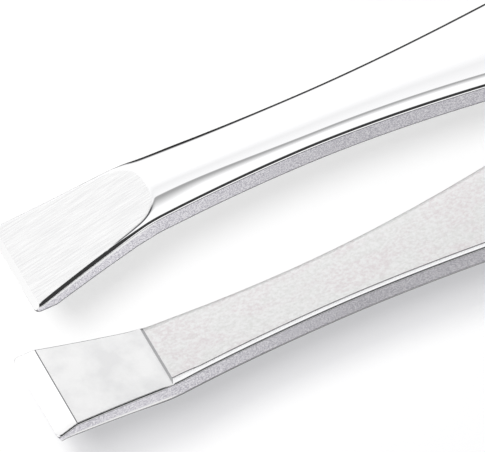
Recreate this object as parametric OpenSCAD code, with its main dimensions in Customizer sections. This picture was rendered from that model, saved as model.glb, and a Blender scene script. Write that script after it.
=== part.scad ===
// Flat-tip tweezers: two mirrored spring arms, ground at the tips and welded face to face at the tail.
// They lie on their side edges: X runs from the tip to the tail, Y is the closing direction and
// Z runs across the width. The origin is under the middle of the part, on the surface it lies on.
// Every distance called "from the tip" is measured along X.

/* [Length] */
// Distance from the tip to the narrowest place of the neck
neck_d = 13; // [10:0.5:18]
// Length over which an arm widens from its neck to its grip
flare_l = 34; // [22:1:45]
// Length of the grip, where both edges run straight and the part rests on one of them
grip_l = 30; // [20:1:40]
// Length over which an arm narrows from its grip to its round tail
taper_l = 14; // [8:1:22]

/* [Width] */
// Width of an arm across its tip
tip_w = 4.8; // [3:0.1:6]
// Width of an arm at its neck
neck_w = 2.8; // [2:0.1:4]
// Width of an arm along its grip
grip_w = 9.6; // [7:0.1:12]
// Width of an arm where its round tail begins
tail_w = 8; // [5:0.1:10]

/* [Blade section] */
// Height of the side edge, from the inner face to its rounded outer corner
side_h = 1.05; // [0.8:0.05:1.6]
// Radius between the side edge and the polished shoulder
edge_r = 0.2; // [0.05:0.01:0.3]
// Width of the polished shoulder along each side of the outer face
shoulder_w = 0.5; // [0.35:0.05:0.8]
// Angle at which the shoulder starts from the rounded corner, to ease off towards the crown
shoulder_angle = 28; // [14:1:35]
// Rise of the crowned outer face between its shoulders, as a share of its width
crown_share = 0.026; // [0.01:0.002:0.06]
// Width of the chamfer along the inner face's edges
edge_chamfer = 0.19; // [0.05:0.01:0.3]
// Depth of that chamfer
chamfer_h = 0.11; // [0.04:0.01:0.2]

/* [Bow] */
// Half of the widest gap between the two inner faces
half_gap = 5.3; // [3:0.1:8]
// Distance from the tip to that widest gap
bow_d = 8; // [6:0.5:12]
// Angle of each arm's straight grip to the middle plane
arm_angle = 5.4; // [4:0.2:7]
// Length behind the grip over which the arms bend until they lie face to face
bend_l = 7; // [4:0.5:7.5]

/* [Ground tip] */
// Distance from the tip to the crease where the inner ground flat begins
crease_d = 5.8; // [4:0.1:8]
// Depth of the inner ground flat below the blasted inner face
crease_h = 0.08; // [0.04:0.01:0.25]
// Angle by which the tip is bent towards the other arm
tip_bend = 12; // [5:0.5:20]
// Thickness of the ground tip where it ends
tip_t = 0.81; // [0.6:0.01:1.2]
// Angle between the inner ground flat and the outer ground facet
facet_taper = 3.4; // [0:0.1:5]
// Radius between the side edge and the ground facet
facet_edge_r = 0.34; // [0.1:0.02:0.4]
// Width of the chamfer along the ground flat's edges
flat_chamfer = 0.09; // [0.03:0.01:0.2]
// Length of the bevel that brings the inner flat down to the tip's edge
bevel_l = 1; // [0.4:0.1:1.6]
// Height of that bevel
bevel_h = 0.4; // [0.2:0.02:0.6]
// Length of the small chamfer on the outer side of the tip's edge
end_chamfer_l = 0.2; // [0.05:0.01:0.3]
// Thickness left at the tip's edge
edge_land = 0.05; // [0.02:0.01:0.15]

/* [Hidden] */

tail_r = tail_w / 2;
grip_d = neck_d + flare_l;
taper_d = grip_d + grip_l;
round_d = taper_d + taper_l;
length = round_d + tail_r;
weld_d = taper_d + bend_l;

// Ring counts of the loft, and corner counts of its section
front_rings = 52;
tip_rings = 8;
tail_rings = 9;
crown_steps = 8;
corner_steps = 4;
shoulder_steps = 3;
// No ring is this close ahead of the grip, so the edges rise clear of the surface from the grip's corners
rest_gap = 3.5;
// The loft's crease is a steep ramp of this length
crease_l = 0.1;
// The tip's edge is only broken by this much
edge_break = 0.03;
// Lengths over which the tip's bend, and the corner along the facet, run smoothly into the rest of the arm
bend_ease = 2;
facet_ease = 1.4;
// The chamfer of the ground flat fades over this length ahead of the crease, where the flat is deepest
fade_l = 1.2;
// How much of the rounded corner the facet leaves standing
kept_corner = 0.9;
// The round tail stops at this angle, so that it ends in a small flat
tail_stop = 78;
// How far a cutter reaches past what it cuts
reach = 4;

function smooth(u) = let (v = min(1, max(0, u))) v * v * (3 - 2 * v);

// Half of the arm's width at distance d from the tip, ahead of the round tail
function half_width(d) =
    let (flare = (grip_w - neck_w) * smooth((d - neck_d) / flare_l))
    let (spread = (tip_w - neck_w) * pow(max(0, 1 - d / neck_d), 2))
    let (narrowing = (grip_w - tail_w) * smooth((d - taper_d) / taper_l))
    (neck_w + spread + flare - narrowing) / 2;

// Half of the gap: closed at the weld, then bending open, straight along the grip and bowed in front
grip_slope = tan(arm_angle);
taper_y = grip_slope * bend_l / 2;
grip_y = taper_y + grip_slope * grip_l;
front_l = grip_d - bow_d;
function front_bow(u) =
    let (drop = half_gap - grip_y, rise = grip_slope * front_l)
    half_gap + (rise - 3 * drop) * pow(u, 2) + (2 * drop - rise) * pow(u, 3);
function bow(d) =
    d > weld_d ? 0 :
    d > taper_d ? grip_slope * pow(weld_d - d, 2) / (2 * bend_l) :
    d > grip_d ? taper_y + grip_slope * (taper_d - d) :
    front_bow((d - bow_d) / front_l);

// The inner ground flat, in line with the bent tip
function flat_y(d) = bow(crease_d) + crease_h - (crease_d - d) * tan(tip_bend);
function edge_y() = flat_y(0) + bevel_h;
function bevel_y(d) = edge_y() + (flat_y(bevel_l) - edge_y()) * d / bevel_l;
function facet_y(d) = flat_y(d) + tip_t + d * tan(facet_taper);

// The lower of two heights, rounded over where they differ by less than ease
function eased_min(a, b, ease) = let (h = max(0, ease - abs(a - b))) min(a, b) - h * h / (4 * ease);
// The blank's inner face: the bow, and the bent tip without its ground flat
function blank_y(d) =
    eased_min(bow(crease_d) - (crease_d - d) * tan(tip_bend), bow(d), bend_ease / 4 * tan(tip_bend));
function inner_y(d) = d < bevel_l ? bevel_y(d) : d < crease_d ? flat_y(d) : blank_y(d);

// The outer corner is rounder along the facet than along the shoulder
function corner_r(d) = facet_edge_r + (edge_r - facet_edge_r) * smooth((d - crease_d + 2.3) / 3);
// Where the side edge ends and its rounded corner begins: lower along the facet
function corner_y(d) =
    eased_min(blank_y(d) + side_h, facet_y(d) - kept_corner * corner_r(d), facet_ease / 4 * tan(tip_bend));
// Height at which the side edge starts. It runs on evenly past the crease
function chamfer_y(d) =
    let (flat_h = chamfer_h - crease_h * smooth((d - crease_d + fade_l) / fade_l))
    d < bevel_l ? inner_y(d) + edge_break : d < crease_d ? inner_y(d) + flat_h : inner_y(d) + chamfer_h;
function chamfer_w(d) = d < bevel_l ? edge_break : d < crease_d ? flat_chamfer : edge_chamfer;

// Corners of the section [y, z] with half width b, counted from the lower inner corner
function section(d, b) =
    let (y0 = inner_y(d), y1 = corner_y(d), c = chamfer_w(d), low_y = chamfer_y(d), r = corner_r(d))
    let (turn = (90 - shoulder_angle) / corner_steps, start_w = r * (1 - sin(shoulder_angle)))
    let (top_y = y1 + r * cos(shoulder_angle), fall = tan(shoulder_angle) / 2, w = shoulder_w - start_w)
    let (crown_w = b - shoulder_w, crown_y = top_y + w * fall * 1.2, crown_h = 2 * crown_share * crown_w)
    let (shoulder = [for (i = [1:shoulder_steps - 1])
        let (s = i / shoulder_steps) [top_y + w * fall * (2 * s - 0.8 * s * s), start_w + w * s]])
    concat(
        [[y0, c - b], [y0, b - c], [low_y, b]],
        [for (i = [0:corner_steps]) [y1 + r * sin(i * turn), b - r + r * cos(i * turn)]],
        [for (p = shoulder) [p[0], b - p[1]]],
        [for (i = [0:crown_steps])
            let (s = 1 - 2 * i / crown_steps) [crown_y + crown_h * (1 - s * s), crown_w * s]],
        [for (i = [shoulder_steps - 2:-1:0]) [shoulder[i][0], shoulder[i][1] - b]],
        [for (i = [corner_steps:-1:0]) [y1 + r * sin(i * turn), r - b - r * cos(i * turn)]],
        [[low_y, -b]]
    );

// Rings as [distance from the tip, half width]: tip, front, both ends of the grip, bend, weld, round tail
tip_stations = [for (i = [0:tip_rings]) bevel_l + (crease_d - crease_l / 2 - bevel_l) * i / tip_rings];
front_d = crease_d + crease_l / 2;
front_stations = [for (i = [0:front_rings])
    front_d + (grip_d - rest_gap - front_d) * pow(i / front_rings, 1.3)];
tail_stations = [grip_d, taper_d, taper_d + bend_l / 2, weld_d, (weld_d + round_d) / 2, round_d];
stations = concat(
    [for (d = concat([0], tip_stations, front_stations, tail_stations)) [d, half_width(d)]],
    [for (i = [1:tail_rings])
        let (a = tail_stop * i / tail_rings) [round_d + tail_r * sin(a) / sin(tail_stop), tail_r * cos(a)]]
);

module loft(rings) {
    n = len(rings[0]);
    last = len(rings) - 1;
    sides = [for (k = [0:last - 1], i = [0:n - 1])
        let (j = (i + 1) % n, a = k * n + i, b = k * n + j)
        each [[a, b, a + n], [b, b + n, a + n]]];
    caps = [[for (i = [n - 1:-1:0]) i], [for (i = [0:n - 1]) last * n + i]];
    polyhedron(points = [for (ring = rings, p = ring) p], faces = concat(sides, caps));
}

module blank() {
    loft([for (s = stations) [for (p = section(s[0], s[1])) [s[0] - length / 2, p[0], p[1] + grip_w / 2]]]);
}

// What the grinder takes off the outer side of the tip: the long facet and the edge's small chamfer
module facet_cutter() {
    end = crease_d + reach;
    far = facet_y(end) + reach;
    outline = [[end, facet_y(end)], [end, far], [-reach, far], [-reach, edge_y() + edge_land],
        [0, edge_y() + edge_land], [end_chamfer_l, facet_y(end_chamfer_l)]];
    translate([-length / 2, 0, -reach])
        linear_extrude(height = grip_w + 2 * reach) polygon(outline);
}

module right_arm() {
    color("silver") difference() {
        blank();
        facet_cutter();
    }
}

module left_arm() {
    color("silver") mirror([0, 1, 0]) right_arm();
}

left_arm();
right_arm();
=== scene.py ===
"""Flat-tip tweezers: the finish of the two steel arms, the studio round them and the photograph's camera."""

import math

import bmesh
import bpy
from mathutils import Matrix, Vector


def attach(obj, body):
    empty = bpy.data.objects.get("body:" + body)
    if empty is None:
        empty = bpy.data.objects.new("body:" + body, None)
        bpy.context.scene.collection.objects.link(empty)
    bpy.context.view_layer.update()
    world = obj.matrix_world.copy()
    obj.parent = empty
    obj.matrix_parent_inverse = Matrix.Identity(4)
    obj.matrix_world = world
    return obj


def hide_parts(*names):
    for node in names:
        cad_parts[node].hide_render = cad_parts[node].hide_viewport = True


# Metres in a millimetre
MM = 0.001

# The blade's sizes in millimetres, as in the part's source
NECK_D, FLARE_L, GRIP_L, TAPER_L = 13, 34, 30, 14
TIP_W, NECK_W, GRIP_W, TAIL_W = 4.8, 2.8, 9.6, 8
HALF_GAP, BOW_D, ARM_ANGLE, BEND_L = 5.3, 8, math.radians(5.4), 7
CREASE_D, CREASE_H, CREASE_L = 5.8, 0.08, 0.1
TIP_BEND, TIP_T, FACET_TAPER = math.radians(12), 0.81, math.radians(3.4)
BEVEL_L, BEVEL_H, END_CHAMFER_L, EDGE_LAND = 1, 0.4, 0.2, 0.05
EDGE_R, BEND_EASE, FACET_EASE = 0.2, 2, 1.4

GRIP_D = NECK_D + FLARE_L
TAPER_D = GRIP_D + GRIP_L
ROUND_D = TAPER_D + TAPER_L
WELD_D = TAPER_D + BEND_L
TAIL_R = TAIL_W / 2
LENGTH = ROUND_D + TAIL_R

# Distances from the tip where the chamfer along the facet starts to turn into an arc, on the upper and on the
# lower side, and the length over which it does
CHAMFER_END, CHAMFER_END_BELOW, CHAMFER_FADE_L = 3.6, 6.7, 1.8
# The length over which the ground flat's edge fades towards the crease
EDGE_FADE_L = 0.7
# The mark "ground" holds how far the strip's own outer face stands above the facet, up to this
MARK_LIMIT = 0.1

# What changes along the arm: its value in front and behind, how far from the tip it starts to change, and
# over what length. First the heights of the side edge and the widths of the shoulder
SIDE_H = 1.005, 1.05, 8, 6
SHOULDER_W = 0.84, 0.5, 6, 8
# The width over which the shoulder eases off, and what the upper one has more of it next to the facet
SHOULDER_EASE = 0.34, 0.18, 6, 8
MORE_EASE_ABOVE = 0.12, 0, 6.3, 2.5
# How round the outer corner is: 0 for the chamfer and 1 for the arc
ROUND_ABOVE = 0, 1, CHAMFER_END, CHAMFER_FADE_L
ROUND_BELOW = 0, 1, CHAMFER_END_BELOW, CHAMFER_FADE_L
# The share that the chamfer has of its full length, less beside the tip's edge
CORNER_SHARE = 0.25, 1, 0, 0.45
# The tilt at which the lower shoulder starts
START_TILT_BELOW = math.radians(21), math.radians(24), 5.9, 0.9
# Where the facet and the strip's outer face differ by less than this in height, they are rounded together
FACET_ROUNDING = 0.012, 0.04, CHAMFER_END, 1.2
# The rim between the side edge and the outer corner, painted dark as a dark reflection line
OUTER_RIM_H = 0.028, 0.05, 4, 4
# The bright chamfer beside the blasted face
CHAMFER_L = 0.23, 0.15, 6.2, 1.2
# What the ground flat's edge loses in height towards the crease
EDGE_LOSS = 0, CREASE_H, CREASE_D - EDGE_FADE_L, EDGE_FADE_L
# The mark "ground" at the top of the side edge, which carries a painted highlight right under the facet's
# corner
PAINTED_HIGHLIGHT_MARK = MARK_LIMIT, -MARK_LIMIT, 4.5, 2
# How strong the painted dark reflection line at the facet's rounded end is
PAINTED_LINE_BY_DISTANCE = 0, 1, 3.9, 0.4
# The same across the shoulder, where the last two numbers are insets from the side edge
PAINTED_LINE_BY_INSET = 1, 0, 0.45, 0.25

# Sizes that stay the same along the arm
INNER_RIM_H = 0.04
TIP_CORNER_R = 0.25
# The shoulder's tilts where it starts, begins to ease off, has eased off and meets the crown
SHOULDER_TILTS = tuple(math.radians(a) for a in (24, 15, 6.4, 4.6))
SHOULDER_END_W = 0.05
# The crown's rise as a share of its width
CROWN_SHARE = 0.02
# The outer corner's chamfer, and the radii on its side and on its facet
CORNER_TILT, CORNER_L, CORNER_LOW_R, CORNER_TOP_R = math.radians(52), 0.165, 0.06, 0.05
# Steps in a section: the corner's two arcs, each of the shoulder's three spans, and half of the crown
LOW_STEPS, TOP_STEPS, SHOULDER_STEPS, CROWN_STEPS = 6, 5, 7, 18
CROWN = LOW_STEPS + 1 + TOP_STEPS + 3 * SHOULDER_STEPS
# Shares of the way from the middle of the inner face to its edge, and up the side edge
FACE_SHARES = 0, 0.3, 0.6, 0.85
SIDE_SHARES = 0, 0.25, 0.5, 0.75
# Distances from the tip where the painted dark line behind the bevel, the ground flat and the crease end
EDGE_LINE_END = BEVEL_L + 0.045
FLAT_END = CREASE_D - CREASE_L / 2
CREASE_END = CREASE_D + CREASE_L / 2
# The first rings' distances from the tip, and the stretches behind them as (start, stop, ring spacing)
FRONT_RINGS = 0, 0.01, 0.03, 0.06, 0.1, 0.16, 0.25, 0.4, BEVEL_L
STRETCHES = (
    (EDGE_LINE_END, FLAT_END, 0.1), (FLAT_END, CREASE_END, CREASE_L), (CREASE_END, 9, 0.05), (9, 14, 0.15),
    (14, GRIP_D, 0.4), (GRIP_D, TAPER_D, 1.5), (TAPER_D, ROUND_D, 0.5))
# Degrees between the rings round the tail
TAIL_STEP = 3
# Corners of the mesh that lie nearer together than this are joined, and nearer to a cut than this are on it,
# both in metres
JOIN_DISTANCE, CUT_DISTANCE = 1e-7, 1e-8
# Edges that turn by more than this are shaded sharp
SHARP_ANGLE = math.radians(24)

# Material slots of an arm. RIM is painted dark, as painted dark reflection lines
OUTER, SIDE, INNER, FLAT, CREASE, BEVEL, RIM, EDGE = range(8)


def smooth(u):
    """Rises smoothly from 0 to 1 while u does, and stays level outside."""
    u = min(1, max(0, u))
    return u * u * (3 - 2 * u)


def along(d, change):
    """What changes along the arm, as it is at d."""
    front, behind, start, length = change
    return front + (behind - front) * smooth((d - start) / length)


def half_width(d):
    """Half of the arm's width at d millimetres from the tip, ahead of the round tail."""
    flare = (GRIP_W - NECK_W) * smooth((d - NECK_D) / FLARE_L)
    spread = (TIP_W - NECK_W) * max(0, 1 - d / NECK_D) ** 2
    narrowing = (GRIP_W - TAIL_W) * smooth((d - TAPER_D) / TAPER_L)
    return (NECK_W + spread + flare - narrowing) / 2


def bow(d):
    """Half of the gap between the arms."""
    slope = math.tan(ARM_ANGLE)
    if d > WELD_D:
        return 0
    if d > TAPER_D:
        return slope * (WELD_D - d) ** 2 / (2 * BEND_L)
    if d > GRIP_D:
        return slope * (BEND_L / 2 + TAPER_D - d)
    front_l = GRIP_D - BOW_D
    drop = HALF_GAP - slope * (BEND_L / 2 + GRIP_L)
    rise = slope * front_l
    u = (d - BOW_D) / front_l
    return HALF_GAP + (rise - 3 * drop) * u**2 + (2 * drop - rise) * u**3


def flat_y(d):
    """The plane of the inner ground flat."""
    return bow(CREASE_D) + CREASE_H - (CREASE_D - d) * math.tan(TIP_BEND)


def facet_y(d):
    """The plane of the outer facet."""
    return flat_y(d) + TIP_T + d * math.tan(FACET_TAPER)


EDGE_Y = flat_y(0) + BEVEL_H


def eased_min(a, b, ease):
    """The lower of two heights, rounded over where they differ by less than ease."""
    h = max(0, ease - abs(a - b))
    return min(a, b) - h * h / (4 * ease)


def blank_y(d):
    """The strip's inner face, with the tip's bend but without the ground flat."""
    bent = bow(CREASE_D) - (CREASE_D - d) * math.tan(TIP_BEND)
    return eased_min(bent, bow(d), BEND_EASE / 4 * math.tan(TIP_BEND))


def inner_y(d):
    """The inner side: the bevel, the ground flat and the strip's own face."""
    if d < BEVEL_L:
        return EDGE_Y + (flat_y(BEVEL_L) - EDGE_Y) * d / BEVEL_L
    return flat_y(d) if d < CREASE_D else blank_y(d)


def arc(r, start, stop, count):
    """Steps (inset, rise) round a corner of radius r, from one tilt to another."""
    tilts = [start + (stop - start) * i / count for i in range(count + 1)]
    turns = zip(tilts, tilts[1:])
    return [(r * (math.sin(a) - math.sin(b)), r * (math.cos(b) - math.cos(a))) for a, b in turns]


def corner_steps(d, rounded, end_tilt):
    """The outer corner, from the side edge to the shoulder, as steps (inset, rise).

    Where rounded is 0 it is a chamfer with a small radius on either side, and where rounded is 1 an arc."""
    low_r = CORNER_LOW_R + (EDGE_R - CORNER_LOW_R) * rounded
    top_r = CORNER_TOP_R + (EDGE_R - CORNER_TOP_R) * rounded
    chamfer = CORNER_L * (1 - rounded) * along(d, CORNER_SHARE)
    steps = arc(low_r, math.pi / 2, CORNER_TILT, LOW_STEPS)
    steps.append((chamfer * math.cos(CORNER_TILT), chamfer * math.sin(CORNER_TILT)))
    return steps + arc(top_r, CORNER_TILT, end_tilt, TOP_STEPS)


def corner_y(d):
    """Where the side edge ends and its corner begins."""
    # The facet cuts the chamfered corner just below its upper radius
    cut_steps = corner_steps(d, 0, SHOULDER_TILTS[0])[:LOW_STEPS + 1]
    cut_y = facet_y(d) - sum(rise for inset, rise in cut_steps)
    return eased_min(blank_y(d) + along(d, SIDE_H), cut_y, FACET_EASE / 4 * math.tan(TIP_BEND))


def outer_profile(d, b, upper):
    """Corner, shoulder and crown as (inset, share, rise over the side edge). Point CROWN starts the crown."""
    ease, start_tilt = along(d, SHOULDER_EASE), SHOULDER_TILTS[0]
    rounded = along(d, ROUND_ABOVE if upper else ROUND_BELOW)
    # Next to the facet the upper shoulder eases off over a longer way, and the lower one starts flatter
    if upper:
        ease += along(d, MORE_EASE_ABOVE)
    else:
        start_tilt = along(d, START_TILT_BELOW)
    q, y = 0, 0
    points = [(q, 1, y)]
    for inset, rise in corner_steps(d, rounded, start_tilt):
        q, y = q + inset, y + rise
        points.append((q, 1, y))
    shoulder_w = along(d, SHOULDER_W)
    insets = (q, shoulder_w - ease, shoulder_w, shoulder_w + SHOULDER_END_W)
    marks = list(zip(insets, (start_tilt,) + SHOULDER_TILTS[1:]))
    for (q0, tilt0), (q1, tilt1) in zip(marks, marks[1:]):
        for i in range(SHOULDER_STEPS):
            tilt = tilt0 + (tilt1 - tilt0) * (i + 0.5) / SHOULDER_STEPS
            q += (q1 - q0) / SHOULDER_STEPS
            y += (q1 - q0) / SHOULDER_STEPS * math.tan(tilt)
            points.append((q, 1, y))
    crown_h = 2 * CROWN_SHARE * (b - q)
    for i in range(1, CROWN_STEPS + 1):
        share = 1 - i / CROWN_STEPS
        points.append((q, share, y + crown_h * (1 - share**2)))
    return points


def face_slot(d):
    """The finish of the inner side from the ring ahead up to the ring at d."""
    if d <= BEVEL_L:
        return BEVEL
    # Just behind the bevel lies a painted dark line
    if d <= EDGE_LINE_END:
        return RIM
    if d <= FLAT_END:
        return FLAT
    # The crease step carries painted shade
    return CREASE if d <= CREASE_END else INNER


def edge_spans(d):
    """Spans from the inner face to the side: length in millimetres, two tilts in degrees, steps and slot."""
    # Spans in the slot RIM are painted dark, as painted dark reflection lines
    if d < CREASE_D:
        # Beside the bevel there is no painted dark line
        first_slot = EDGE if d <= BEVEL_L else RIM
        return (
            (0.02, 0, 12, 2, first_slot), (0.01, 12, 52, 3, EDGE), (0.045, 52, 52, 1, EDGE),
            (0.05, 52, 90, 7, EDGE))
    return (
        (0.038, 0, 8, 2, RIM), (0.012, 8, 19, 2, EDGE), (along(d, CHAMFER_L), 19, 19, 1, EDGE),
        (0.045, 19, 50, 3, RIM), (0.04, 50, 90, 5, EDGE))


def half_section(d, b, upper):
    """Half of a section, from the middle of the inner face round the side to the middle of the outer face.

    Each point is (inset from the side edge, share of what is left to the middle, height, slot of the span
    that follows it, mark "ground")."""
    y0, y1 = inner_y(d), corner_y(d)
    ground = d < CREASE_D
    face = face_slot(d)
    steps = []
    for length, start, stop, count, slot in edge_spans(d):
        for i in range(count):
            tilt = math.radians(start + (stop - start) * (i + 0.5) / count)
            steps.append((length / count * math.cos(tilt), length / count * math.sin(tilt), slot))
    # The flat's edge fades towards the crease, so that the side edge runs on evenly past it
    fade = 1 - along(d, EDGE_LOSS) / sum(rise for inset, rise, slot in steps) if ground else 1
    q, y = sum(inset for inset, rise, slot in steps) * fade, y0
    points = [(q, share, y0, face, -MARK_LIMIT) for share in FACE_SHARES]
    for inset, rise, slot in steps:
        # Behind the crease the lower edge has the face's own finish
        points.append((q, 1, y, slot if upper or ground else face, -MARK_LIMIT))
        q, y = q - inset * fade, y + rise * fade
    # Painted dark rims below and above the side edge, as dark reflection lines
    points.append((0, 1, y, RIM, -MARK_LIMIT))
    low, high = y + INNER_RIM_H, y1 - along(d, OUTER_RIM_H)
    points += [(0, 1, low + (high - low) * share, SIDE, -MARK_LIMIT) for share in SIDE_SHARES]
    # The upper rim's mark carries the painted highlight on the side edge right under the facet's corner
    points.append((0, 1, high, RIM, along(d, PAINTED_HIGHLIGHT_MARK)))
    # The lower half's corner moves until both crowns start at one height
    outer = outer_profile(d, b, upper)
    y1 += outer_profile(d, b, True)[CROWN][2] - outer[CROWN][2]
    cap, rounding = facet_y(d), along(d, FACET_ROUNDING)
    for q, share, rise in outer:
        y = y1 + rise
        mark = min(MARK_LIMIT, max(-MARK_LIMIT, y - cap))
        points.append((q, share, eased_min(y, cap, rounding), OUTER, mark))
    return points


def stations():
    """Rings as (distance from the tip of the ring's centre, half width, angle round the tail)."""
    distances = list(FRONT_RINGS)
    for start, stop, spacing in STRETCHES:
        n = round((stop - start) / spacing)
        distances += [start + (stop - start) * i / n for i in range(n)]
    rings = []
    for d in distances:
        b = half_width(d)
        if d < TIP_CORNER_R:
            b -= TIP_CORNER_R - math.sqrt(TIP_CORNER_R**2 - (TIP_CORNER_R - d)**2)
        rings.append((d, b, 0))
    return rings + [(ROUND_D, TAIL_R, math.radians(a)) for a in range(0, 91, TAIL_STEP)]


def cut(bm, place, normal):
    """Takes off what lies beyond a plane and closes the cut with a flat, sharp-edged face."""
    geom = bm.verts[:] + bm.edges[:] + bm.faces[:]
    made = bmesh.ops.bisect_plane(
        bm, geom=geom, dist=CUT_DISTANCE, plane_co=place, plane_no=normal, clear_outer=True)
    rim = [e for e in made["geom_cut"] if isinstance(e, bmesh.types.BMEdge)]
    for face in bmesh.ops.edgeloop_fill(bm, edges=rim)["faces"]:
        face.material_index = BEVEL
        face.smooth = False
    for e in rim:
        e.smooth = False


def arm(name, side, materials):
    """One arm as a closed mesh. side is 1 for +Y and -1 for its mirror image."""
    bm = bmesh.new()
    ground = bm.verts.layers.float.new("ground")
    shoulder = bm.verts.layers.float.new("shoulder")
    rings = []
    slot_rows = []
    for d, b, turn in stations():
        above, below = half_section(d, b, True), half_section(d, b, False)
        ring = []
        # From the middle of the inner face over the upper side to the outer face, and back below
        for z_side, half in ((1, above), (-1, below[-2:0:-1])):
            for q, share, y, slot, mark in half:
                x = d + (b - q) * math.sin(turn) - LENGTH / 2
                z = z_side * (b - q) * math.cos(turn) * share + GRIP_W / 2
                v = bm.verts.new((x * MM, side * y * MM, z * MM))
                v[ground] = mark
                # The mark "shoulder" holds the strength of the painted dark reflection line
                if slot == OUTER and z_side > 0:
                    v[shoulder] = along(q, PAINTED_LINE_BY_INSET) * along(d, PAINTED_LINE_BY_DISTANCE)
                ring.append(v)
        rings.append(ring)
        slot_rows.append([point[3] for point in above[:-1] + below[-2::-1]])
    for front, back, slots in zip(rings, rings[1:], slot_rows[1:]):
        for i, slot in enumerate(slots):
            j = (i + 1) % len(front)
            face = bm.faces.new((front[i], front[j], back[j], back[i]))
            face.material_index = slot
            face.smooth = True
    bm.faces.new(rings[0]).material_index = BEVEL
    bmesh.ops.remove_doubles(bm, verts=bm.verts[:], dist=JOIN_DISTANCE)
    bmesh.ops.recalc_face_normals(bm, faces=bm.faces[:])
    # The small chamfer on the outer side of the tip's edge
    fall = facet_y(END_CHAMFER_L) - EDGE_Y - EDGE_LAND
    edge = Vector((-LENGTH / 2, side * (EDGE_Y + EDGE_LAND), 0)) * MM
    cut(bm, edge, Vector((-fall, side * END_CHAMFER_L, 0)))
    bmesh.ops.recalc_face_normals(bm, faces=bm.faces[:])
    mesh = bpy.data.meshes.new(name)
    bm.to_mesh(mesh)
    bm.free()
    for material in materials:
        mesh.materials.append(material)
    mesh.set_sharp_from_angle(angle=SHARP_ANGLE)
    obj = bpy.data.objects.new(name, mesh)
    bpy.context.scene.collection.objects.link(obj)
    normals = obj.modifiers.new("even_normals", "WEIGHTED_NORMAL")
    normals.keep_sharp = True
    return obj


class Nodes:
    """A node tree, with short calls to add and join nodes."""

    def __init__(self, tree):
        self.tree = tree

    def add(self, kind, inputs, **settings):
        """A new node. Its inputs are sockets to join, or values."""
        node = self.tree.nodes.new(kind)
        for key, value in settings.items():
            setattr(node, key, value)
        for key, value in inputs.items():
            if isinstance(value, bpy.types.NodeSocket):
                self.tree.links.new(value, node.inputs[key])
            else:
                node.inputs[key].default_value = value
        return node

    def math(self, operation, a, b=0.0, c=0.0):
        return self.add("ShaderNodeMath", {0: a, 1: b, 2: c}, operation=operation).outputs[0]

    def mix(self, factor, a, b):
        return self.add("ShaderNodeMix", {0: factor, 6: a, 7: b}, data_type="RGBA").outputs[2]

    def map_range(self, value, start, stop, first=0, last=1):
        return self.add("ShaderNodeMapRange", {0: value, 1: start, 2: stop, 3: first, 4: last}).outputs[0]

    def mark(self, name):
        """What a mesh's vertices are marked with."""
        return self.add("ShaderNodeAttribute", {}, attribute_name=name).outputs["Fac"]

    def ramp(self, value, stops):
        """A ramp through (position, grey) stops."""
        node = self.add("ShaderNodeValToRGB", {0: value})
        elements = node.color_ramp.elements
        for k, (position, grey) in enumerate(stops):
            stop = elements[k] if k < 2 else elements.new(position)
            stop.position = position
            stop.color = grey, grey, grey, 1
        return node.outputs[0]


def steel(name, colour, roughness):
    """A plain steel finish."""
    material = bpy.data.materials.new(name)
    material.use_nodes = True
    shader = material.node_tree.nodes["Principled BSDF"]
    shader.inputs["Base Color"].default_value = (*colour, 1)
    shader.inputs["Metallic"].default_value = 1
    shader.inputs["Roughness"].default_value = roughness
    return material


def pattern(material):
    """What a finish's pattern starts from: its nodes, its shader and coordinates in millimetres."""
    n = Nodes(material.node_tree)
    place = n.add("ShaderNodeTexCoord", {}).outputs["Object"]
    place = n.add("ShaderNodeVectorMath", {0: place, "Scale": 1 / MM}, operation="SCALE").outputs[0]
    return n, material.node_tree.nodes["Principled BSDF"], place


def noise(n, place, stretch, scale, detail, roughness=0.5):
    """Noise of about 1 / scale millimetres. A stretch factor below 1 makes it longer along that axis."""
    place = n.add("ShaderNodeVectorMath", {0: place, 1: stretch}, operation="MULTIPLY").outputs[0]
    settings = {"Vector": place, "Scale": scale, "Detail": detail, "Roughness": roughness}
    return n.add("ShaderNodeTexNoise", settings).outputs["Fac"]


def bump(n, shader, height, distance):
    """Makes a surface uneven. distance is the bumps' depth in metres."""
    made = n.add("ShaderNodeBump", {"Height": height, "Distance": distance})
    n.tree.links.new(made.outputs["Normal"], shader.inputs["Normal"])


def outer_steel():
    """The outer face: mirror polish, fine scratches where the facet was ground, and a painted dark reflection
    line at the facet's rounded end.
    """
    material = steel("steel_outer", (0.95, 0.95, 0.96), 0.05)
    n, shader, place = pattern(material)
    height = n.mark("ground")
    # Brushed where the facet lies deeper in the strip than this
    ground = n.map_range(height, 0.006, 0.026)
    # A painted dark reflection line follows the facet's rounded end, where the facet and the strip's own face
    # meet
    off_line = n.math("ABSOLUTE", n.math("SUBTRACT", height, 0.002))
    line = n.math("MULTIPLY", n.map_range(off_line, 0.008, 0.015, 0.95, 0), n.mark("shoulder"))
    streaks = noise(n, place, (0.05, 0, 1), 13, detail=3, roughness=0.65)
    spread = n.ramp(streaks, [(0.36, 0), (0.62, 1)])
    brushed = n.mix(spread, (0.88, 0.88, 0.885, 1), (1, 1, 1, 1))
    face = n.mix(ground, (0.95, 0.95, 0.96, 1), brushed)
    n.tree.links.new(n.mix(line, face, (0.1, 0.1, 0.11, 1)), shader.inputs["Base Color"])
    n.tree.links.new(n.math("MULTIPLY_ADD", ground, 0.22, 0.05), shader.inputs["Roughness"])
    bump(n, shader, n.math("MULTIPLY", streaks, ground), 2e-6)
    return material


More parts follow.
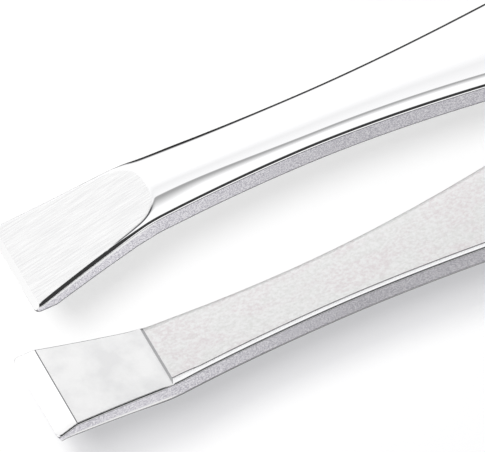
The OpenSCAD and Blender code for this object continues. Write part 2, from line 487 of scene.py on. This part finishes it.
def satin_steel():
    """The side edges: fine speckles, with painted shade behind the tips and a painted highlight right under
    the facet's corner.
    """
    material = steel("steel_satin", (0.8, 0.79, 0.82), 0.35)
    n, shader, place = pattern(material)
    grain = noise(n, place, (0.75, 1, 1), 19, detail=2, roughness=0.6)
    spread = n.ramp(grain, [(0.43, 0), (0.57, 1)])
    parts = n.add("ShaderNodeSeparateXYZ", {0: place}).outputs
    left = n.math("LESS_THAN", parts[1], 0)
    # Painted shade, by how far behind the tip, from 0 to 1. The left arm gets more painted shade
    behind = n.map_range(parts[0], 4 - LENGTH / 2, 15 - LENGTH / 2)
    shade = n.math("MULTIPLY", behind, n.math("MULTIPLY_ADD", left, 0.1, 0.29))
    shade = n.math("SUBTRACT", 1, shade)
    speckled = n.mix(spread, (0.58, 0.565, 0.625, 1), (0.98, 0.965, 1, 1))
    shaded = n.mix(shade, (0, 0, 0, 1), speckled)
    # Painted highlight on the side edge right under the facet's corner
    light = n.map_range(n.mark("ground"), -0.09, -0.03)
    n.tree.links.new(n.mix(light, shaded, (1, 1, 1, 1)), shader.inputs["Base Color"])
    bump(n, shader, grain, 3e-6)
    return material


def blasted_steel():
    """The inner face: coarse speckles, with clouds of warm and cool grey."""
    material = steel("steel_blasted", (0.8, 0.78, 0.78), 0.45)
    n, shader, place = pattern(material)
    grain = noise(n, place, (0.7, 1, 1), 8, detail=3, roughness=0.6)
    spread = n.ramp(grain, [(0.36, 0), (0.64, 1)])
    clouds = n.ramp(noise(n, place, (0.6, 1, 1), 1.1, detail=2), [(0.42, 0), (0.6, 1)])
    warm = n.mix(spread, (0.88, 0.835, 0.845, 1), (1, 1, 1, 1))
    cool = n.mix(spread, (0.88, 0.88, 0.87, 1), (1, 1, 1, 1))
    n.tree.links.new(n.mix(clouds, cool, warm), shader.inputs["Base Color"])
    bump(n, shader, grain, 4e-6)
    return material


def ground_steel():
    """The ground flat: soft clouds."""
    material = steel("steel_ground", (0.87, 0.87, 0.88), 0.4)
    n, shader, place = pattern(material)
    clouds = noise(n, place, (1, 1, 1), 0.6, detail=5, roughness=0.6)
    spread = n.ramp(clouds, [(0.38, 0), (0.62, 1)])
    n.tree.links.new(n.mix(spread, (0.89, 0.89, 0.895, 1), (1, 1, 1, 1)), shader.inputs["Base Color"])
    return material


# What gloss reflects round the X axis: (degrees from the +Y horizon over the zenith to the -Y horizon, grey)
BANDS = (
    (-180, 0.04), (-148, 0.04), (-145, 1), (-137, 1), (-133, 0.03), (-79, 0.03), (-75, 1), (-34, 1),
    (-31, 0.86), (-28, 0.93), (-27, 0.99), (-25.5, 0.86), (-23.5, 0.36), (-20, 0.38), (-17, 0.5), (-10, 0.8),
    (-6, 1), (44, 1), (48, 0.045), (111, 0.03), (115, 1), (154, 1), (158, 0.04), (180, 0.04))


def studio_world():
    """White for the camera, plain light on the object, and for gloss a room of lit and dark bands."""
    world = bpy.data.worlds.new("studio")
    bpy.context.scene.world = world
    world.use_nodes = True
    tree = world.node_tree
    tree.nodes.clear()
    n = Nodes(tree)
    ray = n.add("ShaderNodeLightPath", {}).outputs
    way = n.add("ShaderNodeTexCoord", {}).outputs["Generated"]
    parts = n.add("ShaderNodeSeparateXYZ", {0: way}).outputs
    # A whole turn round the X axis as 0 to 1, with the +Y horizon in the middle
    angle = n.math("ARCTAN2", parts[2], parts[1])
    turn = n.math("MULTIPLY_ADD", angle, 1 / (2 * math.pi), 0.5)
    bands = n.ramp(turn, [(0.5 + degrees / 360, grey) for degrees, grey in BANDS])
    # Beyond the tips the room is white
    ahead = n.map_range(parts[0], -0.5, -0.75)
    bands = n.mix(ahead, bands, (0.97, 0.97, 0.97, 1))
    gloss = n.add("ShaderNodeBackground", {"Color": bands, "Strength": 1.08}).outputs[0]
    soft = n.add("ShaderNodeBackground", {"Color": (1, 1, 1.04, 1), "Strength": 0.52}).outputs[0]
    white = n.add("ShaderNodeBackground", {"Color": (1, 1, 1, 1), "Strength": 1}).outputs[0]
    made = n.add("ShaderNodeMixShader", {0: ray["Is Glossy Ray"], 1: soft, 2: gloss}).outputs[0]
    seen = n.math("MAXIMUM", ray["Is Camera Ray"], ray["Is Transmission Ray"])
    made = n.add("ShaderNodeMixShader", {0: seen, 1: made, 2: white}).outputs[0]
    n.add("ShaderNodeOutputWorld", {"Surface": made})


# Half of the floor's side, in metres
FLOOR_R = 6


def floor():
    """White paper, a little brighter for the camera."""
    mesh = bpy.data.meshes.new("floor")
    corners = [(x * FLOOR_R, y * FLOOR_R, 0) for x, y in ((-1, -1), (1, -1), (1, 1), (-1, 1))]
    mesh.from_pydata(corners, [], [(0, 1, 2, 3)])
    obj = bpy.data.objects.new("floor", mesh)
    bpy.context.scene.collection.objects.link(obj)
    obj.visible_glossy = False
    material = bpy.data.materials.new("floor_white")
    material.use_nodes = True
    tree = material.node_tree
    tree.nodes.clear()
    n = Nodes(tree)
    seen = n.add("ShaderNodeLightPath", {}).outputs["Is Camera Ray"]
    paper = n.add("ShaderNodeBsdfDiffuse", {"Color": (0.7, 0.7, 0.7, 1)}).outputs[0]
    strength = n.math("MULTIPLY", seen, 0.2)
    glow = n.add("ShaderNodeEmission", {"Color": (1, 1, 1, 1), "Strength": strength}).outputs[0]
    made = n.add("ShaderNodeAddShader", {0: paper, 1: glow}).outputs[0]
    n.add("ShaderNodeOutputMaterial", {"Surface": made})
    mesh.materials.append(material)


# How far the lights stand from the frame's origin, in metres
LIGHT_DISTANCE = 0.6


def key_light(name, side, size, energy, colour, blockers=()):
    """A soft light beyond the right arm, low enough to lay the shadows out behind each arm.

    If blockers are given, only they cast a shadow in it."""
    data = bpy.data.lights.new(name, "AREA")
    data.shape = "DISK"
    data.size = size
    data.energy = energy
    data.color = colour
    obj = bpy.data.objects.new(name, data)
    bpy.context.scene.collection.objects.link(obj)
    back = Vector(side).normalized()
    obj.location = back * LIGHT_DISTANCE
    obj.rotation_mode = "QUATERNION"
    obj.rotation_quaternion = back.to_track_quat("Z", "Y")
    obj.visible_glossy = False
    obj.visible_camera = False
    if blockers:
        group = bpy.data.collections.new(name + "_blockers")
        for piece in blockers:
            group.objects.link(piece)
        obj.light_linking.blocker_collection = group


# The photograph's camera: its place and aim in millimetres, its roll, and its lens for a 36 mm sensor
CAMERA_PLACE = Vector((-89.282, 199.966, 145.257))
CAMERA_AIM = Vector((-36.858, 0.304, 4.236))
CAMERA_ROLL = math.radians(148.147)
CAMERA_LENS = 432.37


def camera():
    """The camera from which the render has the photograph's frame."""
    data = bpy.data.cameras.new("camera")
    data.lens = CAMERA_LENS
    data.sensor_width = 36
    data.clip_start, data.clip_end = 0.01, 20
    obj = bpy.data.objects.new("camera", data)
    bpy.context.scene.collection.objects.link(obj)
    look = (CAMERA_AIM - CAMERA_PLACE).to_track_quat("-Z", "Y").to_matrix()
    roll = Matrix.Rotation(CAMERA_ROLL, 3, "Z")
    obj.matrix_world = Matrix.Translation(CAMERA_PLACE * MM) @ (look @ roll).to_4x4()
    bpy.context.scene.camera = obj


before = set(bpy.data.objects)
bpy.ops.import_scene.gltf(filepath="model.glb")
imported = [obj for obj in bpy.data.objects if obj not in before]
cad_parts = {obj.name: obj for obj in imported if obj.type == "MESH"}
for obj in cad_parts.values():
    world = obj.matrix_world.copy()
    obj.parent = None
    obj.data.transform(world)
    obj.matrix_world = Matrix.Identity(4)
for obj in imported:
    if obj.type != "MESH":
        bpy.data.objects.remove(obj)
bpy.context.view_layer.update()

# In the order of the material slots
finishes = [
    outer_steel(),
    satin_steel(),
    blasted_steel(),
    ground_steel(),
    # Painted shade in the crease step
    steel("steel_crease_painted_shade", (0.45, 0.45, 0.46), 0.4),
    steel("steel_bevel", (0.99, 0.99, 0.99), 0.08),
    # Painted dark reflection lines at the rims
    steel("steel_rim_painted_dark", (0.15, 0.15, 0.16), 0.3),
    steel("steel_edge", (0.95, 0.95, 0.96), 0.2),
]
pieces = {}
for node, side in (("left_arm", -1), ("right_arm", 1)):
    piece = arm(node + "_steel", side, finishes)
    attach(piece, "root")
    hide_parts(node)
    pieces[node] = piece

studio_world()
floor()
key_light("key", side=(-0.65, 1.7, 1.0), size=0.066, energy=2.75, colour=(1, 1, 1))
key_light(
    "key_left", side=(-0.63, 2.03, 1.0), size=0.043, energy=2.6, colour=(1, 1, 0.95),
    blockers=[pieces["left_arm"]])
camera()
bpy.context.scene.view_settings.view_transform = "Standard"
